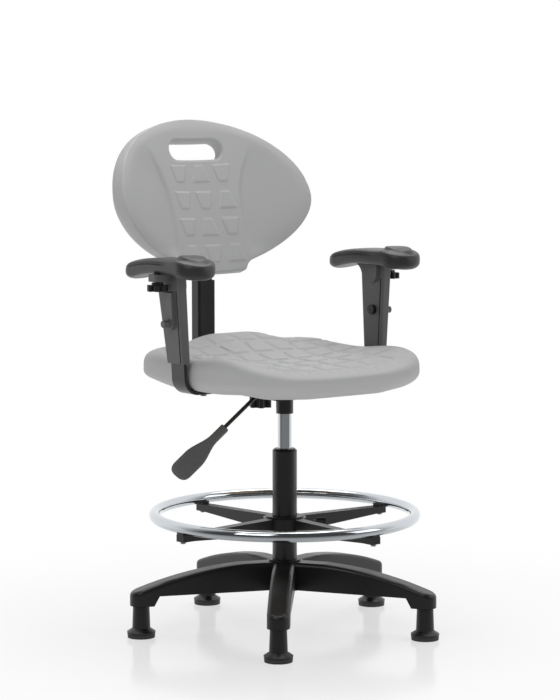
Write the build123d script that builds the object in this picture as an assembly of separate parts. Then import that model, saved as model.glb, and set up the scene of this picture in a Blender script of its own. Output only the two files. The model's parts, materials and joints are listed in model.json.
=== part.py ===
from build123d import *
import os
from math import cos, degrees, pi, radians, sin, sqrt, tan

# Drafting chair on a five-leg glide base, with a gas lift, a foot ring, a moulded
# polyurethane seat and back, and height-adjustable arms.
# Millimetres. Z is up, the floor is Z = 0, the swivel axis is the Z axis and the
# sitter faces -Y, so the sitter's right arm is on the -X side.

# Clearances
press_gap = 0.05        # between pieces fixed to each other
running_gap = 0.06      # round shafts that turn or slide in their bores
slide_gap = 0.3         # flat bars in their channels, and other loose neighbours

# Base
leg_count = 5
leg_phase = 230.7       # direction of the first leg, in degrees from +X
glide_radius = 300.0    # swivel axis to the glide axes
glide_height = 65.0     # floor to the underside of the leg tips
leg_width = 45.0
leg_tip_height = 26.0
leg_rise = 20.0         # leg underside above the tip underside
leg_wall = 4.5
leg_arch = (0.55, 0.8)  # a point of the arched top: shares of the reach and of the drop to the tip
leg_round = 9.0
leg_rib = 3.0
leg_pockets = 3
hub_radius = 37.0
hub_height = 56.0
hub_collar = 4.0

# Glides
stem_radius = 5.5
stem_grip = 22.0        # stem length inside the leg tip
bell_top_radius = 16.6
bell_neck_radius = 18.2
bell_foot_radius = 28.8
bell_flare = 7.0
bell_rim = 5.0
pad_height = 7.0
pad_taper = 1.4

# Gas lift
column_radius = 25.0
column_wall = 2.5
column_length = 284.0
column_floor = 4.0
column_drop = 3.0       # column tail below the hub
bush_length = 80.0
bush_cap = 6.0
bush_cap_bevel = 4.0
lift_radius = 14.0
lift_wall = 2.0
lift_exposed = 78.0     # bright tube seen between column and socket
lift_inserted = 150.0
lift_end = 12.0
rod_radius = 5.0
piston_height = 18.0
piston_lift = 20.0      # piston above the inner end of the bright tube
bearing_height = 6.0
bearing_radius = 15.0
bumper_height = 14.0
bumper_radius = 11.0
clip_height = 3.0
clip_radius = 9.0
clip_margin = 3.0
release_radius = 3.0
release_reach = 3.0     # release pin standing out of the lift's end
release_depth = 15.0
lift_head = 25.0        # solid head at the top of the bright tube

# Seat plate and its socket
socket_radius = 17.5
socket_drop = 34.0      # socket below the seat plate's pan
socket_rise = 2.0
pan_depth = 25.0
pan_width = 120.0
pan_front = 60.0        # pan edge in front of the swivel axis
pan_rear = 130.0
pan_corner = 14.0
sheet = 2.5
flange_width = 205.0
flange_margin = 25.0    # flange beyond the pan, front and rear
flange_corner = 20.0
seat_bolt_x = 85.0
seat_bolt_margin = 14.0
seat_bolt_radius = 4.0
seat_bolt_grip = 9.0
bolt_head_radius = 6.5
bolt_head_height = 5.5

# Lever
lever_radius = 4.0
lever_pivot_x = -32.0
lever_tail = 9.0        # lever end past the swivel axis
lever_slope = 36.0
lever_bend = 14.0
lever_bend_x = -62.0
lever_reach = 130.0     # sloping rod up to the paddle
lever_eye_radius = 8.0
lever_eye_width = 14.0
pivot_radius = 3.0
pivot_ear = 3.0
pivot_ear_wall = 4.0
pivot_ear_top = 5.0
paddle_length = 122.0
paddle_neck = 17.0
paddle_width = 45.0
paddle_thickness = 9.0
paddle_roll = 20.0
paddle_tip_round = 14.0
paddle_grip = 22.0

# Back bar under the seat and the upright
bar_width = 40.0
bar_thickness = 8.0
bar_start = 50.0        # front end of the bar behind the swivel axis
bar_guide_length = 32.0
bar_guide_wall = 3.0
upright_y = 286.0
upright_bend = 48.0
bar_kink = 726.0        # level where the bar starts to lean with the back
bar_lean_length = 140.0
cover_width = 43.0
cover_depth = 30.0
cover_start = 150.0
cover_top = 698.0
cover_round = 5.0
depth_knob_y = 83.0
depth_knob_radius = 24.0
depth_knob_height = 28.0
knob_lobe = 0.24        # lobe radius as a share of a knob's radius
knob_valley = 1.3       # lobe radii from a lobe's outside down to the body between lobes
knob_grip = 0.72        # share of a knob's height that is lobed
knob_neck = 0.55        # neck radius as a share of the knob's radius
knob_gap = 2.0
stud_radius = 4.0

# Seat
seat_width = 470.0
seat_length = 440.0
seat_shift = 12.0       # seat centre behind the swivel axis
seat_square = 5.0       # exponent of the rounded outline
seat_low = 47.0         # top of the front edge's middle above the underside
seat_rear_rise = 43.0   # rear rim above that
seat_side_rise = 27.0   # front corners above that
seat_rear_span = (-0.1, 1.0)  # shares of the half length over which the rear climbs
seat_side_span = (-0.8, 0.9)  # and over which the sides come down
seat_rear_crown = 0.6   # rear climb that reaches the sides
seat_girth = 26.0       # widest line above the underside
seat_tuck = 22.0        # underside drawn in from the widest line
seat_side_roll = 38.0   # round from the widest line up to the top
seat_front_roll = 48.0
seat_rear_roll = 34.0
seat_block_pitch = 57.0
seat_block_columns = 5
seat_block_rows = 6
seat_block_gap = 11.0
seat_block_slant = 7.0
seat_block_shift = 12.0  # block field in front of the seat centre
board_margin = 58.0
board_thickness = 12.0
board_corner = 47.0
block_height = 2.0

# Back
back_width = 514.0      # round the curve
back_height = 333.0
back_curve = 490.0
back_thickness = 38.0
back_lean = 17.5
back_bottom = 712.0
back_waist = 146.0      # height of the widest line
back_drop = 132.0       # oval below the widest line
back_oval = 1.9         # exponent of the oval
back_stem = 132.0       # width of the bottom edge
back_stem_flare = 0.85  # half width gained up the stem
back_round = 16.0
back_block_rows = ("NWN", "WNW", "WWN", "WNW")  # from the bottom: wide or narrow tops
back_block_start = 39.0
back_block_pitch = 58.0
back_block_spread = 57.0
back_block_wide = 44.0
back_block_narrow = 25.0
back_block_height = 37.0
back_screw_radius = 3.0
back_screw_head = 4.5
back_screw_cap = 3.0
back_screw_margin = 5.0
back_screw_bite = 6.0
slot_width = 138.0
slot_height = 42.0
slot_level = 266.0      # slot centre above the back's bottom edge
recess_width = 66.0
recess_height = 150.0
recess_skin = 35.0      # padding left in front of the recess
insert_thickness = 4.0
insert_width = 62.0
insert_height = 104.0
sleeve_height = 70.0
sleeve_wall = 3.0
sleeve_level = 40.0     # bracket sleeve above the back's bottom edge
back_knob_radius = 22.0
back_knob_height = 26.0

# Arms
arm_x = 246.0
arm_y = 16.0
arm_splay = 3.3         # outward lean of the arm uprights, in degrees
arm_bar_width = 44.0
arm_bar_thickness = 6.0
arm_bend = 30.0
arm_foot_inner = 112.0
arm_bar_top = 690.0
arm_bolts_x = (190.0, 140.0)
arm_down = 30.0         # arm travel below and above the height shown
arm_up = 30.0
arm_sleeve_bottom = 560.0
arm_sleeve_top = 737.0
arm_sleeve_low = (18.0, 58.0)
arm_sleeve_high = (23.0, 76.0)
arm_sleeve_rake = 11.0  # top centre behind the bottom centre
arm_flare = 30.0
arm_flare_rear = 22.0
arm_flare_width = 19.0
arm_boss_x = 34.0       # knob axis outside the sleeve's centre
arm_boss_width = 28.0
arm_boss_height = 14.0
arm_knob_radius = 21.0
arm_knob_height = 17.0
arm_stud_radius = 3.5
arm_knob_rear = 8.0      # knob axis behind the bar
arm_spot = 1.0           # spot face under the nut
arm_washer_radius = 9.0
arm_washer = 2.0
arm_nut_height = 10.0
arm_bolt_level = 641.0
arm_bolt_radius = 4.0
arm_bolt_head = 7.0
arm_bolt_reach = 14.0
arm_nut_radius = 10.0
arm_nut_dimple = 1.5
arm_tongue_width = 27.0  # raised tongues on the outer and inner faces
arm_tongue_reach = 9.0
arm_tongue_drop = 39.0   # inner tongue below the pad
arm_seam_width = 4.0     # groove beside the front strip
arm_seam_inset = 7.0
arm_seam_depth = 2.5
arm_corner = 5.0
arm_pad_length = 245.0
arm_pad_width = 85.0
arm_pad_thickness = 29.0
arm_pad_y = 29.0
arm_pad_shift = 5.0      # pad centre outside the sleeve's centre
arm_pad_flat = (-41.0, 84.0)  # level part of the underside, before and behind the bar
arm_pad_tail = 64.0
arm_pad_droop_front = 14.0
arm_pad_droop_rear = 8.0
arm_pad_round = 11.0
arm_plate_thickness = 5.0
arm_plate_width = 48.0
arm_plate_length = 118.0
arm_plate_shift = 22.0   # plate centre behind the bar
arm_plate_boss = 8.0
arm_plate_corner = 8.0

# Foot ring
ring_radius = 265.0
ring_tube_radius = 11.0
ring_level = 237.0
ring_seam = 0.3         # butt seam where the bent bar closes
ring_hub_radius = 43.5
ring_hub_height = 32.0
ring_hub_top = 231.0
collet_radius = 33.0
collet_flange = 38.0
collet_flange_height = 3.0
collet_split = 4.0
spoke_phase = 4.0
spoke_count = 4
spoke_width = 22.0
spoke_tip_height = 14.0
spoke_wall = 3.0
spoke_overhang = 8.0
saddle_length = 20.0
saddle_floor = 1.0      # spoke left under the ring
saddle_rise = 5.5
ring_screw_radius = 3.0
ring_screw_head = 5.5
ring_screw_cap = 4.0
ring_screw_bite = 7.5
ring_knob_angle = -38.0
ring_knob_radius = 12.0
ring_knob_height = 26.0
ring_knob_reach = 14.0  # bare stud between the hub and the knob
ring_knob_level = 218.0

# Levels that follow from the sizes above
leg_underside = glide_height + leg_rise
hub_top = leg_underside + hub_height
column_bottom = leg_underside - column_drop
column_top = column_bottom + column_length
column_inner = column_radius - column_wall
lift_bottom = column_top - lift_inserted
socket_bottom = column_top + lift_exposed
pan_bottom = socket_bottom + socket_drop
pan_floor = pan_bottom + sheet
seat_underside = pan_bottom + pan_depth
socket_top = pan_floor + socket_rise
lift_top = socket_top + 1.0
release_top = lift_top + release_reach
lever_level = release_top + slide_gap + lever_radius
bar_bottom = pan_floor + slide_gap
bar_level = bar_bottom + bar_thickness / 2

BOTTOM = (Align.CENTER, Align.CENTER, Align.MIN)


def post(radius, z0, z1):
    """Upright cylinder on the Z axis."""
    return Pos(0, 0, z0) * Cylinder(radius, z1 - z0, align=BOTTOM)


def block(x0, x1, y0, y1, z0, z1):
    """Box between two corners."""
    centre = Pos((x0 + x1) / 2, (y0 + y1) / 2, (z0 + z1) / 2)
    return centre * Box(abs(x1 - x0), abs(y1 - y0), abs(z1 - z0))


def turned(*points):
    """Solid turned about Z from (radius, height) points."""
    return revolve(make_face(Polyline(*[(r, 0, z) for r, z in points], close=True)), Axis.Z)


def lobed_knob(radius, height, lobes, stud, stud_length):
    """Hand knob with round lobes; its stud points up from Z = 0, its body hangs below."""
    lobe = radius * knob_lobe
    plan = Circle(radius - lobe * knob_valley)
    plan += PolarLocations(radius - lobe, lobes) * Circle(lobe)
    body = Pos(0, 0, -height) * extrude(plan, height * knob_grip)
    body += post(radius * knob_neck, -height / 3, 0)
    return body + post(stud, -height / 2, stud_length)


parts = {}


# Base star: one hollow ribbed leg, copied round the hub
leg_tip_top = glide_height + leg_tip_height
leg_reach = glide_radius + leg_width / 2


def leg_top(drop=0.0):
    """Arched top line of a leg from the swivel axis to the tip."""
    mid_height = leg_tip_top + (hub_top - leg_tip_top) * leg_arch[1]
    return ThreePointArc((0, 0, hub_top - drop), (leg_reach * leg_arch[0], 0, mid_height - drop),
                         (leg_reach, 0, leg_tip_top - drop))


def base_leg():
    """A leg along +X: arched top, open ribbed underside and a round tip for the glide."""
    step = glide_radius - leg_width * 0.75
    boss = glide_radius - leg_width / 2
    under = Polyline((leg_reach, 0, leg_tip_top), (leg_reach, 0, glide_height), (boss, 0, glide_height),
                     (step, 0, leg_underside), (0, 0, leg_underside), (0, 0, hub_top))
    side = extrude(make_face(leg_top() + under), leg_width / 2, both=True)
    plan = Pos(glide_radius / 2, 0) * Rectangle(glide_radius, leg_width)
    plan += Pos(glide_radius, 0) * Circle(leg_width / 2)
    leg = side & extrude(plan, hub_top)
    top_face = leg.faces().sort_by(Axis.Z)[-1]
    rims = [e for e in top_face.edges() if e.center().X > 1]
    leg = fillet(rims, leg_round)
    start = hub_radius - 2
    cell = (step - start) / leg_pockets
    inner = Polyline((leg_reach, 0, leg_tip_top - leg_wall), (leg_reach, 0, 0), (0, 0, 0),
                     (0, 0, hub_top - leg_wall))
    hollow = extrude(make_face(leg_top(leg_wall) + inner), leg_width / 2 - leg_wall, both=True)
    for k in range(leg_pockets):
        x0 = start + k * cell
        leg -= hollow & block(x0, x0 + cell - leg_rib, -leg_width, leg_width, 0, hub_top)
    socket = Pos(glide_radius, 0, glide_height) * post(stem_radius + press_gap, 0, stem_grip)
    return leg - socket


leg_angles = [leg_phase + 360 / leg_count * k for k in range(leg_count)]
star = post(hub_radius, leg_underside - column_drop / 2, hub_top)
star += post(column_radius + leg_wall * 1.6, hub_top - leg_wall, hub_top + hub_collar)
one_leg = base_leg()
for angle in leg_angles:
    star += Rot(0, 0, angle) * one_leg
parts["base_star"] = star - post(column_radius + press_gap, 0, hub_top + 2 * hub_collar)


# Bell glides: stem, bell and foot pad under each leg tip
def glide_bell():
    """Turned bell with a flared foot and a blind socket for the stem."""
    rim_top = pad_height + bell_rim
    bell = turned((0, pad_height), (bell_foot_radius - pad_taper / 2, pad_height),
                  (bell_foot_radius, rim_top), (bell_neck_radius, rim_top + bell_flare),
                  (bell_top_radius, glide_height - 2), (bell_top_radius - 2, glide_height), (0, glide_height))
    return bell - post(stem_radius + press_gap, rim_top, glide_height)


def glide_pad():
    """Foot pad, slightly narrower at the floor, with a small pry notch in its rim."""
    pad = turned((0, 0), (bell_foot_radius - pad_taper, 0), (bell_foot_radius - pad_taper / 2, pad_height),
                 (0, pad_height))
    notch = block(bell_foot_radius - 2 * pad_taper, bell_foot_radius, -2, 2, 0, pad_height / 2)
    return pad - notch


stems = []
for number, angle in enumerate(leg_angles, 1):
    spot = Rot(0, 0, angle) * Pos(glide_radius, 0, 0)
    parts[f"glide_bell_{number}"] = spot * glide_bell()
    parts[f"glide_pad_{number}"] = spot * glide_pad()
    stems.append(spot * post(stem_radius, pad_height + bell_rim, glide_height + stem_grip))
parts["glide_stems"] = Compound(children=stems)


# Gas lift: outer column with its bush, turning rod and bearing, bright sliding tube
floor_top = column_bottom + column_floor
parts["column_tube"] = turned(
    (rod_radius + running_gap, column_bottom), (column_radius, column_bottom), (column_radius, column_top),
    (column_inner, column_top), (column_inner, floor_top), (rod_radius + running_gap, floor_top))

bush_bore = lift_radius + running_gap
cap_top = column_top + bush_cap
parts["column_bush"] = turned(
    (bush_bore, column_top - bush_length), (column_inner - press_gap, column_top - bush_length),
    (column_inner - press_gap, column_top), (column_radius, column_top),
    (column_radius, cap_top - bush_cap_bevel), (column_radius - bush_cap_bevel, cap_top),
    (bush_bore, cap_top))

bearing_top = floor_top + bearing_height
piston_bottom = lift_bottom + lift_end + piston_lift + lift_inserted * 0.4
rod = post(rod_radius, column_bottom - clip_height - clip_margin, piston_bottom + piston_height)
rod += post(lift_radius - lift_wall - running_gap, piston_bottom, piston_bottom + piston_height)
parts["gas_rod"] = rod


def ring_on_rod(radius, z0, z1):
    """Washer-shaped piece fixed round the rod."""
    return post(radius, z0, z1) - post(rod_radius + press_gap, z0, z1)


parts["thrust_bearing"] = ring_on_rod(bearing_radius, floor_top, bearing_top)
parts["bump_stop"] = ring_on_rod(bumper_radius, bearing_top, bearing_top + bumper_height)
parts["rod_clip"] = ring_on_rod(clip_radius, column_bottom - clip_height, column_bottom)

lift_inner = lift_radius - lift_wall
parts["lift_tube"] = turned(
    (rod_radius + running_gap, lift_bottom), (lift_radius, lift_bottom), (lift_radius, lift_top),
    (release_radius + running_gap, lift_top), (release_radius + running_gap, lift_top - lift_head),
    (lift_inner, lift_top - lift_head), (lift_inner, lift_bottom + lift_end),
    (rod_radius + running_gap, lift_bottom + lift_end))
parts["release_pin"] = post(release_radius, lift_top - release_depth, release_top)


# Seat plate: pressed pan with a bolting flange, the lift socket and the guide of the back bar
pan_y = (pan_rear - pan_front) / 2
pan_length = pan_rear + pan_front
flange_length = pan_length + 2 * flange_margin
seat_bolt_y = flange_length / 2 - seat_bolt_margin


def pan_block(shrink, z0, z1):
    """Pan-shaped block, drawn in by a wall thickness."""
    plan = RectangleRounded(pan_width - 2 * shrink, pan_length - 2 * shrink, pan_corner - shrink)
    return Pos(0, pan_y, z0) * extrude(plan, z1 - z0)


def at_seat_bolts():
    """Places of the four bolts that hold the plate to the seat board."""
    return Pos(0, pan_y, 0) * GridLocations(2 * seat_bolt_x, 2 * seat_bolt_y, 2, 2)


flange_plan = RectangleRounded(flange_width, flange_length, flange_corner)
plate = Pos(0, pan_y, seat_underside - sheet) * extrude(flange_plan, sheet)
plate += pan_block(0, pan_bottom, seat_underside)
plate -= pan_block(sheet, pan_floor, seat_underside + 1)
plate -= post(socket_radius + press_gap, pan_bottom - 1, pan_floor + 1)
bar_slot = bar_width / 2 + slide_gap
plate -= block(-bar_slot, bar_slot, pan_rear - pan_corner, pan_rear + 1, pan_floor,
               bar_bottom + bar_thickness + slide_gap)
lever_slot = lever_radius + 2 * slide_gap
plate -= block(-pan_width / 2 - 12, -pan_width / 2 + sheet + 1, -lever_slot, lever_slot,
               lever_level - lever_slot, seat_underside + 1)
plate -= Pos(0, depth_knob_y, 0) * post(stud_radius + slide_gap, pan_bottom - 1, pan_floor + 1)
for spot in at_seat_bolts():
    plate -= spot * post(seat_bolt_radius + press_gap, seat_underside - 2 * sheet, seat_underside + 1)
ear_half = lever_eye_width / 2 + slide_gap
ear_round = pivot_radius + pivot_ear_wall
for side in (-1, 1):
    inner = side * ear_half
    outer = side * (ear_half + pivot_ear)
    plate += block(lever_pivot_x - ear_round, lever_pivot_x + ear_round, inner, outer, pan_floor,
                   lever_level + pivot_ear_top)
pivot_place = Pos(lever_pivot_x, 0, lever_level) * Rot(90, 0, 0)
parts["seat_plate"] = plate - pivot_place * Cylinder(pivot_radius + press_gap, pan_width / 2)

socket_bore = lift_radius + press_gap
parts["lift_socket"] = post(socket_radius, socket_bottom, socket_top) - post(socket_bore, 0, seat_underside)

guide_half = bar_slot + bar_guide_wall
guide_y0 = pan_rear - sheet - 2 - bar_guide_length
guide_y1 = pan_rear - sheet - 2
bar_ceiling = bar_bottom + bar_thickness + slide_gap
guide = block(-guide_half, guide_half, guide_y0, guide_y1, pan_floor, bar_ceiling + bar_guide_wall)
parts["bar_guide"] = guide - block(-bar_slot, bar_slot, 0, pan_rear, pan_floor, bar_ceiling)


# Release lever: bent rod with a pivot eye, its pin, and the moulded paddle
slope = radians(lever_slope)
lever_end_x = lever_bend_x - lever_reach * cos(slope)
lever_end_z = lever_level - lever_reach * sin(slope)
lever_path = FilletPolyline((lever_tail, 0, lever_level), (lever_bend_x, 0, lever_level),
                            (lever_end_x, 0, lever_end_z), radius=lever_bend)
lever = sweep(Plane(origin=lever_path @ 0, z_dir=lever_path % 0) * Circle(lever_radius), path=lever_path)
lever += pivot_place * Cylinder(lever_eye_radius, lever_eye_width)
parts["lever_rod"] = lever - pivot_place * Cylinder(pivot_radius + running_gap, lever_eye_width + 1)
parts["lever_pin"] = pivot_place * Cylinder(pivot_radius, 2 * (ear_half + pivot_ear))

# The paddle's own frame: X runs down the lever, Y across it, Z is its face
paddle_frame = Pos(lever_end_x, 0, lever_end_z) * Rot(0, 180 - lever_slope, 0) * Rot(paddle_roll, 0, 0)
shoulder = paddle_length * 0.62
half_neck = paddle_neck / 2
half_wide = paddle_width / 2
paddle_plan = make_face(Polyline((-paddle_grip, half_neck), (paddle_grip * 0.6, half_neck),
                                 (shoulder, half_wide), (paddle_length - paddle_grip, half_wide * 0.9),
                                 (paddle_length - paddle_grip, -half_wide * 0.9), (shoulder, -half_wide),
                                 (paddle_grip * 0.6, -half_neck), (-paddle_grip, -half_neck), close=True))
paddle = Pos(0, 0, -paddle_thickness / 2) * extrude(paddle_plan, paddle_thickness)
tip_edges = paddle.edges().filter_by(Axis.Z).sort_by(Axis.X)[-2:]
paddle = fillet(tip_edges, paddle_tip_round)
paddle = chamfer(paddle.faces().sort_by(Axis.Z)[-1].edges(), 1.5)
paddle += Pos(-paddle_grip, 0, 0) * Rot(0, 90, 0) * Cylinder(half_neck * 0.85, paddle_grip, align=BOTTOM)
grip_hole = Pos(-paddle_grip - 1, 0, 0) * Rot(0, 90, 0) * Cylinder(lever_radius + press_gap, paddle_grip + 1,
                                                                   align=BOTTOM)
parts["lever_paddle"] = paddle_frame * (paddle - grip_hole)


# Back bar: flat steel from the seat plate up into the back, and the plastic cover round its bend
def bent_strip(y0, *climb, thickness, width):
    """Strip along +Y at the bar's level that turns up and follows (y, z) points."""
    path = FilletPolyline((0, y0, bar_level), (0, upright_y, bar_level), *[(0, y, z) for y, z in climb],
                          radius=upright_bend)
    section = Plane(origin=path @ 0, x_dir=(1, 0, 0), z_dir=path % 0) * Rectangle(width, thickness)
    return sweep(section, path=path)


lean = radians(back_lean)
bar_tip = (upright_y + bar_lean_length * sin(lean), bar_kink + bar_lean_length * cos(lean))
parts["back_bar"] = bent_strip(bar_start, (upright_y, bar_kink), bar_tip, thickness=bar_thickness,
                               width=bar_width)
cover = bent_strip(cover_start, (upright_y, cover_top), thickness=cover_depth, width=cover_width)
long_edges = [e for e in cover.edges() if e.bounding_box().size.X < 0.1 and e.length > cover_depth + 1]
cover = fillet(long_edges, cover_round)
parts["upright_cover"] = cover - bent_strip(cover_start - 1, (upright_y, cover_top + 1),
                                            thickness=bar_thickness + 2 * press_gap,
                                            width=bar_width + 2 * press_gap)

depth_knob_place = Pos(0, depth_knob_y, pan_bottom - knob_gap)
parts["depth_knob"] = depth_knob_place * lobed_knob(depth_knob_radius, depth_knob_height, 6, stud_radius,
                                                    knob_gap + sheet + slide_gap / 2)


# Seat: moulded cushion with a low front, raised sides and rear and raised blocks, over a plywood board
def ramp(value, start, end):
    """0 before start, 1 after end, and a smooth step between them."""
    t = min(1.0, max(0.0, (value - start) / (end - start)))
    return t * t * (3 - 2 * t)


def seat_section(v, lift):
    """Upright section across the seat at a share v of its half length, from -1 in front to 1 at the rear."""
    half = seat_width / 2 * (1 - abs(v) ** seat_square) ** (1 / seat_square)
    roll = seat_front_roll if v < 0 else seat_rear_roll
    near = min(1.0, seat_length / 2 * (1 - abs(v)) / roll)
    fullness = sqrt(1 - (1 - near) ** 2)
    rear = seat_rear_rise * ramp(v, *seat_rear_span)
    middle = seat_low + rear
    side = seat_low + rear * seat_rear_crown + seat_side_rise * (1 - ramp(v, *seat_side_span))
    widest = seat_underside + seat_girth
    low = widest - seat_girth * fullness
    y = seat_shift + v * seat_length / 2

    def level(height):
        return widest + (height - seat_girth) * fullness + lift

    tuck = half - seat_tuck * fullness
    shoulder = half - seat_side_roll * fullness
    right = (shoulder, y, level(side))
    left = (-shoulder, y, level(side))
    rim = [ThreePointArc((tuck, y, low), (half, y, widest), right),
           ThreePointArc((-tuck, y, low), (-half, y, widest), left)]
    dish = ThreePointArc(right, (0, y, level(middle)), left)
    return make_face([Line((-tuck, y, low), (tuck, y, low)), *rim, dish])


def seat_body(lift=0.0):
    """Cushion lofted from front to rear, its top lifted a little for the blocks."""
    shares = (-0.985, -0.95, -0.87, -0.7, -0.3, 0.2, 0.6, 0.85, 0.95, 0.985)
    below = block(-seat_width, seat_width, -seat_length, seat_length, pan_bottom, seat_underside)
    return loft([seat_section(v, lift) for v in shares]) - below


def seat_blocks():
    """Slanted raised blocks of the sitting surface, as prisms over their plans."""
    half = (seat_block_pitch - seat_block_gap) / 2
    places = GridLocations(seat_block_pitch, seat_block_pitch, seat_block_columns, seat_block_rows)
    plan = Sketch()
    for number, spot in enumerate(places):
        slant = seat_block_slant * (-1) ** (number // seat_block_rows + number)
        plan += spot * make_face(Polyline((-half, -half), (half - slant, -half), (half, half),
                                          (-half + slant, half), close=True))
    foot = Pos(0, seat_shift - seat_block_shift, seat_underside + board_thickness)
    return foot * extrude(plan, seat_length)


cushion = seat_body() + (seat_body(block_height) & seat_blocks())
board_plan = RectangleRounded(seat_width - 2 * board_margin, seat_length - 2 * board_margin, board_corner)
board = Pos(0, seat_shift, seat_underside) * extrude(board_plan, board_thickness)
cushion -= board
parts["seat_cushion"] = cushion

bolts = []
for spot in at_seat_bolts():
    shank = post(seat_bolt_radius, seat_underside - sheet, seat_underside + seat_bolt_grip)
    bolt = shank + post(bolt_head_radius, seat_underside - sheet - bolt_head_height, seat_underside - sheet)
    bolts.append(spot * bolt)
    board -= spot * post(seat_bolt_radius + press_gap, seat_underside - 1, seat_underside + seat_bolt_grip)
parts["seat_bolts"] = Compound(children=bolts)


# Back: curved moulded shell, lofted up from level sections.
# In its own frame X is across, Z runs up the lean and Y points rearwards from the middle surface.
recess_floor = recess_skin - back_thickness / 2
sleeve_front = recess_floor + insert_thickness
sleeve_bore = bar_thickness + 2 * slide_gap
bar_depth = sleeve_front + sleeve_wall + sleeve_bore / 2
back_y = upright_y + (back_bottom - bar_kink) * tan(lean) - bar_depth / cos(lean)
back_place = Pos(0, back_y, back_bottom) * Rot(-back_lean, 0, 0)


def back_half_width(z):
    """Half width at a height: an oval lobe that runs down into a narrower stem."""
    reach = back_height - back_waist if z > back_waist else back_drop
    share = min(1.0, abs(z - back_waist) / reach)
    lobe = back_width / 2 * (1 - share ** back_oval) ** (1 / back_oval)
    stem = back_stem / 2 + back_stem_flare * z
    return max(lobe, stem) if z < back_waist else lobe


def back_half_depth(z):
    """Half thickness at a height, rounded off towards the top and bottom edges."""
    near = min(z, back_height - z, back_round)
    return back_thickness / 2 - back_round + sqrt(back_round ** 2 - (back_round - near) ** 2)


def back_section(z):
    """Level section: two arcs about the same centre, closed by round ends."""
    depth = back_half_depth(z)
    swing = (back_half_width(z) - depth) / back_curve

    def spot(angle, offset):
        radius = back_curve + offset
        return (radius * sin(angle), radius * cos(angle) - back_curve, z)

    def cap(side):
        tip = spot(side * (swing + depth / back_curve), 0)
        slant = side * (swing + cos(pi / 4) * depth / back_curve)
        return [(spot(side * swing, -depth), spot(slant, -cos(pi / 4) * depth), tip),
                (tip, spot(slant, cos(pi / 4) * depth), spot(side * swing, depth))]

    arcs = [(spot(-swing, -depth), spot(0, -depth), spot(swing, -depth)), *cap(1),
            (spot(swing, depth), spot(0, depth), spot(-swing, depth))]
    arcs += [(c, b, a) for a, b, c in reversed(cap(-1))]
    return make_face([ThreePointArc(*arc) for arc in arcs])


def back_blocks():
    """Raised blocks up the middle of the front, each wider at its top or at its foot."""
    prisms = []
    for row, kinds in enumerate(back_block_rows):
        low = back_block_start + row * back_block_pitch - back_block_height / 2
        for column, kind in enumerate(kinds):
            x = (column - 1) * back_block_spread
            foot, top = back_block_narrow / 2, back_block_wide / 2
            if kind == "N":
                foot, top = top, foot
            high = low + back_block_height
            face = make_face(Polyline((x - foot, 0, low), (x + foot, 0, low), (x + top, 0, high),
                                      (x - top, 0, high), close=True))
            prisms.append(extrude(face, 2 * back_thickness, both=True))
    return prisms


inner_front = back_curve - back_thickness / 2
front_skin = Pos(0, -back_curve, 0) * (post(inner_front + 1, 0, back_height)
                                       - post(inner_front - block_height, 0, back_height))
section_shares = (0.006, 0.024, 0.05, 0.085, 0.125, 0.18, 0.25, 0.34, 0.44, 0.6, 0.75, 0.86, 0.93,
                  0.972, 0.994)
shell = loft([back_section(share * back_height) for share in section_shares])
for prism in back_blocks():
    shell += prism & front_skin
handle = Pos(0, 0, slot_level) * Rot(90, 0, 0) * extrude(SlotOverall(slot_width, slot_height), back_thickness,
                                                         both=True)
shell -= handle
recess = block(-recess_width / 2, recess_width / 2, recess_floor, back_thickness, -1, recess_height)
shell -= recess

insert_z = sleeve_level + sleeve_height / 2
insert = block(-insert_width / 2, insert_width / 2, recess_floor, sleeve_front,
               insert_z - insert_height / 2, insert_z + insert_height / 2)
sleeve_half = bar_width / 2 + slide_gap
sleeve_z1 = sleeve_level + sleeve_height
bracket = block(-insert_width / 2, insert_width / 2, sleeve_front, sleeve_front + sleeve_wall,
                insert_z - insert_height / 2, insert_z + insert_height / 2)
sleeve_rear = sleeve_front + 2 * sleeve_wall + sleeve_bore
bracket += block(-sleeve_half - sleeve_wall, sleeve_half + sleeve_wall, sleeve_front, sleeve_rear,
                 sleeve_level, sleeve_z1)
bracket -= block(-sleeve_half, sleeve_half, sleeve_front + sleeve_wall, sleeve_rear - sleeve_wall,
                 0, back_height)
knob_axis = Pos(0, sleeve_rear, insert_z) * Rot(90, 0, 0)
bracket -= knob_axis * post(stud_radius + slide_gap, -1, sleeve_wall + 1)
back_screws = []
for x in (-1, 1):
    for z in (-1, 1):
        spot = (Pos(x * (insert_width / 2 - back_screw_margin), sleeve_front + sleeve_wall,
                    insert_z + z * (insert_height / 2 - back_screw_margin)) * Rot(90, 0, 0))
        hole = post(back_screw_radius + press_gap, 0, sleeve_wall + insert_thickness + back_screw_bite)
        bracket -= spot * hole
        insert -= spot * hole
        shell -= spot * hole
        screw = post(back_screw_radius, 0, sleeve_wall + insert_thickness + back_screw_bite)
        back_screws.append(back_place * spot * (screw + post(back_screw_head, -back_screw_cap, 0)))
parts["back_shell"] = back_place * shell
parts["back_insert"] = back_place * insert
parts["back_bracket"] = back_place * bracket
parts["back_screws"] = Compound(children=back_screws)
back_knob = lobed_knob(back_knob_radius, back_knob_height, 6, stud_radius,
                       knob_gap + sleeve_wall + slide_gap / 2)
parts["back_knob"] = back_place * knob_axis * Pos(0, 0, -knob_gap) * back_knob


# Arms: made for the sitter's left (+X) and mirrored to the right
splay = radians(arm_splay)


def arm_axis_x(z):
    """X of the arm's leaning centre line at a height."""
    return arm_x + (z - seat_underside) * tan(splay)


arm_frame = Pos(arm_x, 0, seat_underside) * Rot(0, arm_splay, 0)
bolt_z = (arm_bolt_level - seat_underside) / cos(splay)
foot_level = seat_underside - arm_bar_thickness / 2


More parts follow.
